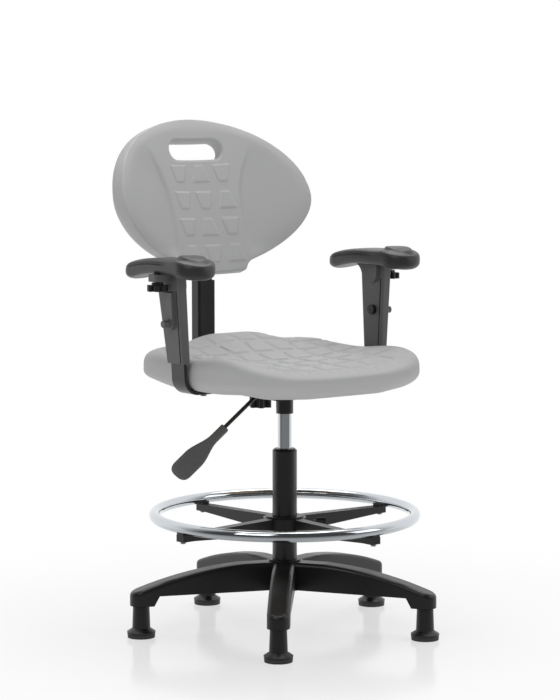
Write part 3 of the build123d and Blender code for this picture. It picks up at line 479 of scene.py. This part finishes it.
# %% [markdown]
# Rows of slanted blocks stand a little proud of the sitting surface, so that air can pass between
# them. They could be cut out one by one, but a mask is simpler: a function that is 1 on a block and
# 0 between blocks, with soft edges, which is added to the height. The blocks fade out towards the
# rim, and are fainter at the rear.

# %% Seat blocks
block_pitch_x = 0.057
block_pitch_y = 0.0575
block_half_x = 0.0225
block_half_y = 0.0235
block_slant = 0.0035
block_soft = 0.003
block_proud = 0.0030
block_shift_y = 0.036
blocks_each_way = 3
rim_fading_out = (0.84, 0.94)
rear_fading = 0.6
rear_fading_y = (0.10, 0.17)


def slanted_blocks(x, y):
    """Mask of blocks on a lattice, 1 on a block and 0 between them.

    The lattice cell is found by rounding; the block's half width grows or shrinks along it by the
    slant, in turn from cell to cell, and the edges are softened over a short distance."""
    column = np.round(x / block_pitch_x)
    row = np.round(y / block_pitch_y)
    local_x = x - column * block_pitch_x
    local_y = y - row * block_pitch_y
    lean = block_slant * np.where((column + row) % 2 > 0.5, 1, -1)
    width = block_half_x + lean * local_y / block_half_y
    inside = np.minimum(width - np.abs(local_x), block_half_y - np.abs(local_y))
    within = (np.abs(column) <= blocks_each_way) & (np.abs(row) <= blocks_each_way)
    return smoothstep(inside, 0, block_soft) * within


def seat_relief(x, y, out):
    """How far the top stands proud: the blocks, less towards the rim and at the rear."""
    shown = (1 - smoothstep(out, *rim_fading_out)) * (1 - rear_fading * smoothstep(y, *rear_fading_y))
    return block_proud * slanted_blocks(x, y + block_shift_y) * shown


print("seat blocks up to", 2 * blocks_each_way + 1, "each way")

# %% [markdown]
# The rim of the seat is rolled, and the roll is rounder in front, where the legs bend over it. A
# bevel would give the same roll all round, so the roll's superellipse changes with the direction
# instead. The widest line of the seat is about half way down its side.

# %% Seat surface
seat_widest = 0.530
seat_grid = 261
seat_spacing_depth = 0.045
seat_spacing_square = 4.6
seat_roll_square = 4.4
front_roll_lost = 1.5
front_roll_sine = (0.3, 0.95)

share, turn, reach = disc_grid(seat_grid, seat_half_x, seat_half_y, seat_radius)
square = seat_roll_square - front_roll_lost * smoothstep(-np.sin(turn), *front_roll_sine)
angle = rolled_angle(share, seat_half_x, seat_spacing_depth, seat_spacing_square)
out = np.sin(angle) ** (2 / square)
rise = np.cos(angle) ** (2 / square)
x = out * reach * np.cos(turn)
y = out * reach * np.sin(turn)
z = seat_widest + (seat_top(x, y) - seat_widest) * rise + seat_relief(x, y, out)
seat_top_points = np.stack([x, y + seat_middle_y, z], -1).reshape(-1, 3)
print("seat top from", round(float(z.min()), 3), "to", round(float(z.max()), 3), "m")

# %% [markdown]
# Below its widest line the seat tucks in to the board that carries it. The front corners tuck in
# further, the front edge hangs down as a small lip over the board, and the rear edge is lifted. The
# side is a quarter round, ring by ring, and two more rings lead in to the flat underside.

# %% Seat underside
seat_floor = 0.5045
seat_tuck = 0.018
seat_corner_tuck = 0.032
seat_corner_share = (0.35, 0.74)
seat_lip = 0.008
seat_lip_along = (0.72, 0.97)
seat_lift = 0.010
seat_lift_along = (0.20, 0.75)
seat_hem = 0.012
seat_flat = 0.018
seat_tuck_rings = 9

outline = seat_top_points[ring_numbers(seat_grid)]
outline_x = outline[:, 0]
outline_y = outline[:, 1] - seat_middle_y
corner_share = np.abs(outline_x * outline_y) / (seat_half_x * seat_half_y)
corner = smoothstep(corner_share, *seat_corner_share)
hull = seat_tuck + seat_corner_tuck * corner * (outline_y < 0)
along = outline_y / seat_half_y
lip = seat_lip * smoothstep(-along, *seat_lip_along) - seat_lift * smoothstep(along, *seat_lift_along)
tuck = np.linspace(0, pi / 2, seat_tuck_rings)[1:, None]
inward = np.concatenate([hull * (1 - np.cos(tuck)), [hull + seat_hem], [hull + seat_flat]])
side_fall = np.concatenate([np.sin(tuck), [[1.0]]])
side_level = seat_widest - (seat_widest - seat_floor + lip) * side_fall
under_level = np.concatenate([side_level, np.full_like(side_level[:1], seat_floor)])
ring_scale = 1 - inward / seat_half_x
under = np.stack([outline_x * ring_scale, seat_middle_y + outline_y * ring_scale, under_level], -1)
seat_points, seat_faces = closed_below(seat_top_points, seat_grid, under)
soft_piece("seat_foam", seat_points, seat_faces, "moulded_foam", "seat", "seat_cushion")

# %% [markdown]
# The back is a curved oval shell of the same foam, with a hand slot near the top and a short stem
# below. A block with a hole cut by a Boolean would leave ragged faces round the slot. So the grid
# runs round the slot instead: one direction follows the outline, the other leaves the slot, crosses
# the front, turns over the rim and comes back across the rear, and the whole shell is one closed
# band. First come the two outlines, drawn flat.

# %% Back outline
back_waist = 0.146
back_height = 0.3347
back_drop = 0.131
back_half_width = 0.257
lobe_square = 1.9
stem_half_width = 0.074
stem_flare = 0.60
stem_blend = 0.024
stem_blend_height = (0.03, 0.075)
foot_corner = 0.005
round_count = 560
side_samples = 6001
foot_samples = 400


def back_edge(height):
    """Half width at a height: a superelliptic lobe, and below it a stem that widens upwards; the two
    are joined by a smooth maximum, (a + b + sqrt((a - b)^2 + blur^2)) / 2."""
    reach = np.where(height > back_waist, back_height - back_waist, back_drop)
    part = np.clip(np.abs(height - back_waist) / reach, 0, 1)
    lobe = back_half_width * (1 - part ** lobe_square) ** (1 / lobe_square)
    stem = stem_half_width + stem_flare * height
    blur = stem_blend * (1 - smoothstep(height, *stem_blend_height))
    joined = (lobe + stem + np.hypot(lobe - stem, blur)) / 2
    return np.where(height > back_waist, lobe, joined)


def back_outline(count):
    """Points of the outline at even distances, clockwise seen from the front, with a rounded foot."""
    height = back_height * (1 + np.cos(np.linspace(0, pi, side_samples))) / 2
    low = np.clip((foot_corner - height) / foot_corner, 0, 1)
    half = back_edge(height) - foot_corner * (1 - np.sqrt(1 - low ** 2))
    foot = np.linspace(half[-1], -half[-1], foot_samples)[1:-1]
    across = np.concatenate([half, foot, -half[::-1]])
    up = np.concatenate([height, np.zeros_like(foot), height[::-1]])
    length = np.concatenate([[0], np.cumsum(np.hypot(np.diff(across), np.diff(up)))])
    at = np.linspace(0, length[-1], count, endpoint=False)
    return np.interp(at, length, across), np.interp(at, length, up)


def inward_normals(across, up):
    """Unit normals of a closed outline, pointing inwards, from the central differences of its points."""
    along = np.roll(across, -1) - np.roll(across, 1)
    rise = np.roll(up, -1) - np.roll(up, 1)
    size = np.hypot(along, rise)
    return rise / size, -along / size


edge_x, edge_z = back_outline(round_count)
normal_x, normal_z = inward_normals(edge_x, edge_z)
print("back outline", round(float(2 * edge_x.max()), 3), "m wide")

# %% [markdown]
# The slot is a bar with round ends that a hand can reach through. To put its points opposite those
# of the outline, a ray goes from the slot's middle to each point of the outline, and the slot's point
# is where the ray leaves the bar.

# %% Hand slot
slot_middle = 0.266
slot_reach = 0.048
slot_round = 0.021
never_zero = 1e-6


def slot_ring(grow):
    """The slot's outline, grown by a distance or by each of a column of distances.

    Along a ray the flat side is at radius / |sine|, and the round end at reach |cosine| plus
    the square root of radius^2 - (reach sine)^2."""
    size = np.hypot(edge_x, edge_z - slot_middle)
    cosine = edge_x / size
    sine = (edge_z - slot_middle) / size
    radius = slot_round + grow
    flat = radius / np.maximum(np.abs(sine), never_zero)
    inner = np.clip(radius ** 2 - (slot_reach * sine) ** 2, 0, None)
    end = slot_reach * np.abs(cosine) + np.sqrt(inner)
    reach = np.where(flat * np.abs(cosine) <= slot_reach, flat, end)
    return reach * cosine, slot_middle + reach * sine


def rim_ring(inset):
    """The outline drawn in along its normals by a distance or by each of a column of distances."""
    return edge_x + inset * normal_x, edge_z + inset * normal_z


print("hand slot", round(2 * (slot_reach + slot_round), 3), "m wide")

# %% [markdown]
# The front of the back has blocks too, four rows of three that taper in turn, and a soft crease on
# either side of the middle panel. Like the blocks of the seat they are a relief on the surface. The
# front also falls back a little towards its rim, so the edge looks thinner than the middle.

# %% Back relief
panel_columns = (-0.056, 0.001, 0.058)
panel_first_row = 0.0395
panel_row_pitch = 0.058
panel_rows = ("NWN", "WNW", "WWN", "WNW")
panel_half_x = 0.017
panel_half_z = 0.0185
panel_taper = 0.0055
panel_proud = 0.0017
panel_edge = (-0.0015, 0.0025)
crease_heights = (0.0, 0.056, 0.098, 0.135, 0.180, 0.219, 0.278, 0.333)
crease_places = (0.095, 0.092, 0.090, 0.090, 0.095, 0.108, 0.140, 0.170)
crease_depth = 0.0055
crease_edge = (-0.004, 0.010)
wing_climb = (0.010, 0.13)
crease_foot = (0.02, 0.06)
crease_head = (0.20, 0.29)
edge_fall = 0.004
edge_fall_width = 0.03
edge_fall_across = (0.07, 0.14)
edge_fall_up = (0.20, 0.27)


def panel_blocks(across, up):
    """Mask of the tapered blocks: wider at the top where the row says W, narrower where it says N."""
    mask = np.zeros_like(across)
    for row, kinds in enumerate(panel_rows):
        above = up - panel_first_row - panel_row_pitch * row
        for column, kind in zip(panel_columns, kinds):
            taper = panel_taper if kind == "W" else -panel_taper
            width = panel_half_x + taper * above / panel_half_z
            inside = np.minimum(width - np.abs(across - column), panel_half_z - np.abs(above))
            mask = np.maximum(mask, smoothstep(inside, *panel_edge))
    return mask


def crease_scoop(across, up):
    """1 just outside the crease, where the wing starts low, and back to 0 as the wing climbs outwards."""
    beyond = np.abs(across) - np.interp(up, crease_heights, crease_places)
    scoop = smoothstep(beyond, *crease_edge) * (1 - smoothstep(beyond, *wing_climb))
    return scoop * smoothstep(up, *crease_foot) * (1 - smoothstep(up, *crease_head))


def rim_fall(across, up, distance):
    """How far the front falls back towards the rim: the square of the nearness to it, on the wings and
    along the top, so that the edge is thinner than the middle."""
    near = np.clip(1 - distance / edge_fall_width, 0, 1) ** 2
    where = np.maximum(smoothstep(np.abs(across), *edge_fall_across), smoothstep(up, *edge_fall_up))
    return edge_fall * near * where


print("back blocks:", len(panel_rows) * len(panel_columns))

# %% [markdown]
# The closed band is put together from six strips: the front half of the slot's wall, the front face,
# the front fillet of the rim, the rounder rear of the rim, the rear face with a shallow recess for
# the plate that carries it, and the rear half of the slot's wall.

# %% Back surface
back_half_thick = 0.019
slot_fillet = 0.006
front_fillet = 0.0035
rear_inset = 0.020
widest_depth = 0.0035
front_rings = 118
rear_rings = 34
plate_recess = 0.003
plate_half_width = 0.033
plate_top = 0.150
plate_side_slope = 0.004
plate_top_slope = 0.006
fillet_steps = 7


def band(start, end, steps):
    """Flat rings between two outlines, start (1 - t) + end t, both ends included."""
    t = np.linspace(0, 1, steps)[:, None]
    return start[0] * (1 - t) + end[0] * t, start[1] * (1 - t) + end[1] * t


front_face = band(slot_ring(slot_fillet), rim_ring(front_fillet), front_rings)
rear_face = band(rim_ring(rear_inset), slot_ring(slot_fillet), rear_rings)
to_rim = np.hypot(front_face[0] - front_face[0][-1], front_face[1] - front_face[1][-1])
front_depth = (rim_fall(*front_face, to_rim) - back_half_thick
               - panel_proud * panel_blocks(*front_face) + crease_depth * crease_scoop(*front_face))
plate_sides = smoothstep(plate_half_width - np.abs(rear_face[0]), 0, plate_side_slope)
plate_end = smoothstep(plate_top - rear_face[1], 0, plate_top_slope)
rear_depth = back_half_thick - plate_recess * plate_sides * plate_end
quarter = np.linspace(0, pi / 2, fillet_steps)[:, None]
aside = 1 - np.sin(quarter)
below = 1 - np.cos(quarter)
strips = [
    (slot_ring(slot_fillet * aside[:0:-1]), slot_fillet * below[:0:-1] - back_half_thick),
    (front_face, front_depth),
    (rim_ring(front_fillet * aside[1:]), front_depth[-1] + front_fillet * below[1:]),
    (rim_ring(rear_inset * aside[:0:-1]),
     back_half_thick - (back_half_thick - widest_depth) * below[:0:-1]),
    (rear_face, rear_depth),
    (slot_ring(slot_fillet * aside[1:]), back_half_thick - slot_fillet * below[1:]),
]
across = np.concatenate([place[0] for place, depth in strips])
up = np.concatenate([place[1] for place, depth in strips])
depth = np.concatenate([np.broadcast_to(depth, place[0].shape) for place, depth in strips])
print("back band:", across.shape[0], "rings of", across.shape[1], "points")

# %% [markdown]
# The flat design is bent round the sitter and leaned back. A bend modifier could do it, but the
# formula is short: the distance across becomes an arc on an upright cylinder.

# %% Back in place
back_lean = radians(17.5)
back_bend = 0.490
back_foot_y = 0.25296
back_foot_z = 0.712


def wrap_back(across, up, depth):
    """Bend the flat design round an upright cylinder of radius R (x = (R + d) sin(s / R),
    y = (R + d) cos(s / R) - R), lean it back about its foot and set it in place."""
    swing = across / back_bend
    x = (back_bend + depth) * np.sin(swing)
    y = (back_bend + depth) * np.cos(swing) - back_bend
    return np.stack([x, back_foot_y + y * cos(back_lean) + up * sin(back_lean),
                     back_foot_z - y * sin(back_lean) + up * cos(back_lean)], -1)


back_points = wrap_back(across, up, depth).reshape(-1, 3)
index = np.arange(across.size).reshape(across.shape)
index = np.concatenate([index, index[:, :1]], axis=1)
index = np.concatenate([index, index[:1]], axis=0)
back_faces = grid_quads(index).tolist()
soft_piece("back_foam", back_points, back_faces, "moulded_foam", "back", "back_shell")

# %% [markdown]
# Each arm pad is a soft block, wide in front and narrower behind, that droops at both ends. Its plan
# is the line round two circles. A bent capsule would be close, but the pads are flat on top with a
# tight roll to the sides, so they get a superellipse as the seat does, with a squarer profile.

# %% Arm pad shape
pad_front_y = -0.050
pad_front_round = 0.0425
pad_rear_y = 0.1300
pad_rear_round = 0.0330
pad_centre_y = (pad_front_y - pad_front_round + pad_rear_y + pad_rear_round) / 2
pad_half_y = (pad_rear_y + pad_rear_round - pad_front_y + pad_front_round) / 2
front_droop = 0.006
front_droop_start = -0.030
front_droop_span = 0.0625
rear_droop = 0.017
rear_droop_start = 0.030
rear_droop_span = 0.1330
droop_most = 1.2
arc_samples = 900
line_samples = 40


def pad_radius(turn):
    """Polar radius, about the pad's middle, of the line round its two circles."""
    slope = np.arcsin((pad_front_round - pad_rear_round) / (pad_rear_y - pad_front_y))
    behind = np.linspace(slope, pi - slope, arc_samples)
    ahead = np.linspace(pi - slope, 2 * pi + slope, arc_samples)
    line_x = np.concatenate([pad_rear_round * np.cos(behind), pad_front_round * np.cos(ahead)])
    line_y = np.concatenate([pad_rear_y + pad_rear_round * np.sin(behind),
                             pad_front_y + pad_front_round * np.sin(ahead)])
    even = np.linspace(0, 1, line_samples)[:, None]
    px = (line_x * (1 - even) + np.roll(line_x, -1) * even).T.ravel()
    py = (line_y * (1 - even) + np.roll(line_y, -1) * even).T.ravel() - pad_centre_y
    return np.interp(turn, np.arctan2(py, px), np.hypot(px, py), period=2 * pi)


def pad_droop(y):
    """How far the pad bends down at its front and rear ends, growing with the square of the distance."""
    ahead = np.clip((front_droop_start - y) / front_droop_span, 0, droop_most)
    behind = np.clip((y - rear_droop_start) / rear_droop_span, 0, droop_most)
    return front_droop * ahead ** 2 + rear_droop * behind ** 2


print("arm pad", 2 * pad_half_y, "m long and", 2 * pad_front_round, "m wide")

# %% [markdown]
# In front, an oval insert stands proud inside a shallow moat, and two fine grooves run along each
# side. All of them are reliefs: the insert and the moat move the top up and down, and the grooves
# push the rolled side inwards along its own slope.

# %% Arm pad relief
insert_y = -0.047
insert_half_x = 0.029
insert_half_y = 0.036
insert_proud = 0.003
insert_climb = 0.004
insert_edge = (0.80, 1.0)
moat_depth = 0.0016
moat_place = 1.07
moat_half_width = 0.09
groove_depth = 0.0032
groove_angles = (1.22, 1.43)
groove_half_angle = 0.07
groove_front_y = (-0.035, 0.02)
groove_rear_y = (0.135, 0.155)


def insert_relief(x, y):
    """How far the oval insert stands proud, more towards its rear, and how deep the moat round it is."""
    oval = np.hypot(x / insert_half_x, (y - insert_y) / insert_half_y)
    along = np.clip((y - insert_y + insert_half_y) / (2 * insert_half_y), 0, 1)
    proud = (insert_proud + insert_climb * along) * (1 - smoothstep(oval, *insert_edge))
    moat = moat_depth * np.clip(1 - np.abs(oval - moat_place) / moat_half_width, 0, 1)
    return proud, moat


def side_grooves(y, angle):
    """Depth of the grooves: a narrow V at two angles of the rolled side, along its straight part."""
    lines = sum(np.clip(1 - np.abs(angle - middle) / groove_half_angle, 0, 1) for middle in groove_angles)
    return groove_depth * lines * smoothstep(y, *groove_front_y) * (1 - smoothstep(y, *groove_rear_y))


print("insert", 2 * insert_half_x, "by", 2 * insert_half_y, "m")

# %% [markdown]
# The top of the pad is a disc grid, and its underside is a short quarter round. The front is a little
# thicker than the rest, above as a swell and below as a chin. The right pad is the left one mirrored,
# with its faces turned round so that they still point outwards.

# %% Arm pads
pad_middle_x = 0.2585
pad_floor = 0.7376
pad_widest = 0.748
pad_top = 0.768
pad_square = 5.0
pad_spacing_span = 0.09
pad_swell = 0.003
pad_swell_ahead = (0.0, 0.06)
pad_chin = 0.003
pad_chin_ahead = (0.03, 0.08)
pad_tuck = 0.006
pad_tuck_rings = 7
pad_grid = 221

share, turn, reach = disc_grid(pad_grid, pad_front_round, pad_half_y, pad_radius)
angle = rolled_angle(share, pad_spacing_span, pad_top - pad_widest, pad_square)
out = np.sin(angle) ** (2 / pad_square)
rise = np.cos(angle) ** (2 / pad_square)
x = out * reach * np.cos(turn)
y = pad_centre_y + out * reach * np.sin(turn)
proud, moat = insert_relief(x, y)
groove = side_grooves(y, angle)
swell = pad_swell * smoothstep(-y, *pad_swell_ahead)
x = x * (1 - groove * np.sin(angle) / pad_rear_round)
z = (pad_widest + (pad_top + swell - pad_widest - moat) * rise + proud
     - groove * np.cos(angle) - pad_droop(y))
pad_top_points = np.stack([x, y, z], -1).reshape(-1, 3)

outline = pad_top_points[ring_numbers(pad_grid)]
tuck = np.linspace(0, pi / 2, pad_tuck_rings)[1:, None]
ring_scale = 1 - pad_tuck * (1 - np.cos(tuck)) / pad_front_round
chin = pad_chin * smoothstep(-outline[:, 1], *pad_chin_ahead)
under = np.stack([outline[:, 0] * ring_scale,
                  pad_centre_y + (outline[:, 1] - pad_centre_y) * ring_scale,
                  outline[:, 2] - (pad_widest - pad_floor + chin) * np.sin(tuck)], -1)
pad_points, pad_faces = closed_below(pad_top_points, pad_grid, under)
for side, name in ((1, "left"), (-1, "right")):
    points = (pad_points + (pad_middle_x, 0, 0)) * (side, 1, 1)
    faces = pad_faces if side > 0 else [face[::-1] for face in pad_faces]
    soft_piece("arm_pad_foam_" + name, points, faces, "arm_foam", "armpad_" + name, "arm_pad_" + name)

# %% [markdown]
# The grip on the lever is a flat moulded paddle with a round neck that holds the rod. It could be a
# box with rounded edges, but its width and thickness change all the way, so it is a tube of rounded
# sections carried along the lever: the sections widen from the neck to the blade and close at the
# tip. The blade faces up and to the front, where the hand comes from.

# %% Lever grip shape
grip_start = -0.024
grip_end = 0.122
neck_half_width = 0.0090
blade_widening = 0.0125
blade_widening_at = (0.008, 0.070)
neck_half_depth = 0.0080
blade_thinning = 0.0035
blade_thinning_at = (0.0, 0.060)
tip_start = 0.100
tip_square = 2.6
tip_closing = 0.112


def blade_half_width(at):
    """Half width along the grip: round neck, a smooth swell to the blade, and a rounded tip."""
    swell = neck_half_width + blade_widening * smoothstep(at, *blade_widening_at)
    tip = np.clip((at - tip_start) / (grip_end - tip_start), 0, 1)
    return swell * (1 - tip ** tip_square) ** (1 / tip_square)


def blade_half_depth(at):
    """Half thickness along the grip, from the round neck to the flat blade, closed at the tip."""
    flat = neck_half_depth - blade_thinning * smoothstep(at, *blade_thinning_at)
    tip = np.clip((at - tip_closing) / (grip_end - tip_closing), 0, 1)
    return flat * np.sqrt(1 - tip ** 2)


print("lever grip", round(grip_end - grip_start, 3), "m long")

# %% Lever grip
lever_slope = radians(36.0)
blade_turn = radians(50.0)
section_square = 3.2
sections = 90
section_points = 72

lever_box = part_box("lever_rod")
lever_end = np.array([lever_box[0].x, 0, lever_box[0].z])
lever_line = np.array([-cos(lever_slope), 0, -sin(lever_slope)])
lever_normal = np.array([-sin(lever_slope), 0, cos(lever_slope)])
forward = np.array([0, -1, 0])
blade_face = cos(blade_turn) * lever_normal + sin(blade_turn) * forward
blade_side = np.cross(lever_line, blade_face)
at = grip_start + (grip_end - grip_start) * np.sin(np.linspace(0, pi / 2, sections))[:, None]
swing = np.linspace(0, 2 * pi, section_points, endpoint=False)
wide = blade_half_width(at) * np.sign(np.cos(swing)) * np.abs(np.cos(swing)) ** (2 / section_square)
thick = blade_half_depth(at) * np.sign(np.sin(swing)) * np.abs(np.sin(swing)) ** (2 / section_square)
grip_points = (lever_end + at[..., None] * lever_line
               + wide[..., None] * blade_side + thick[..., None] * blade_face)
index = np.arange(wide.size).reshape(wide.shape)
grip_faces = grid_quads(np.concatenate([index, index[:, :1]], axis=1)).tolist()
grip_faces.append(index[0].tolist())
grip_faces.append(index[-1][::-1].tolist())
# The grip's grey colour is a painted sheen: black plastic lightened to stand in for the bright studio
# mirrored in it.
lever_grip = smooth_object("lever_grip", grip_points.reshape(-1, 3), grip_faces, "painted_sheen_plastic")
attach(lever_grip, "lever")
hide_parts("lever_paddle")
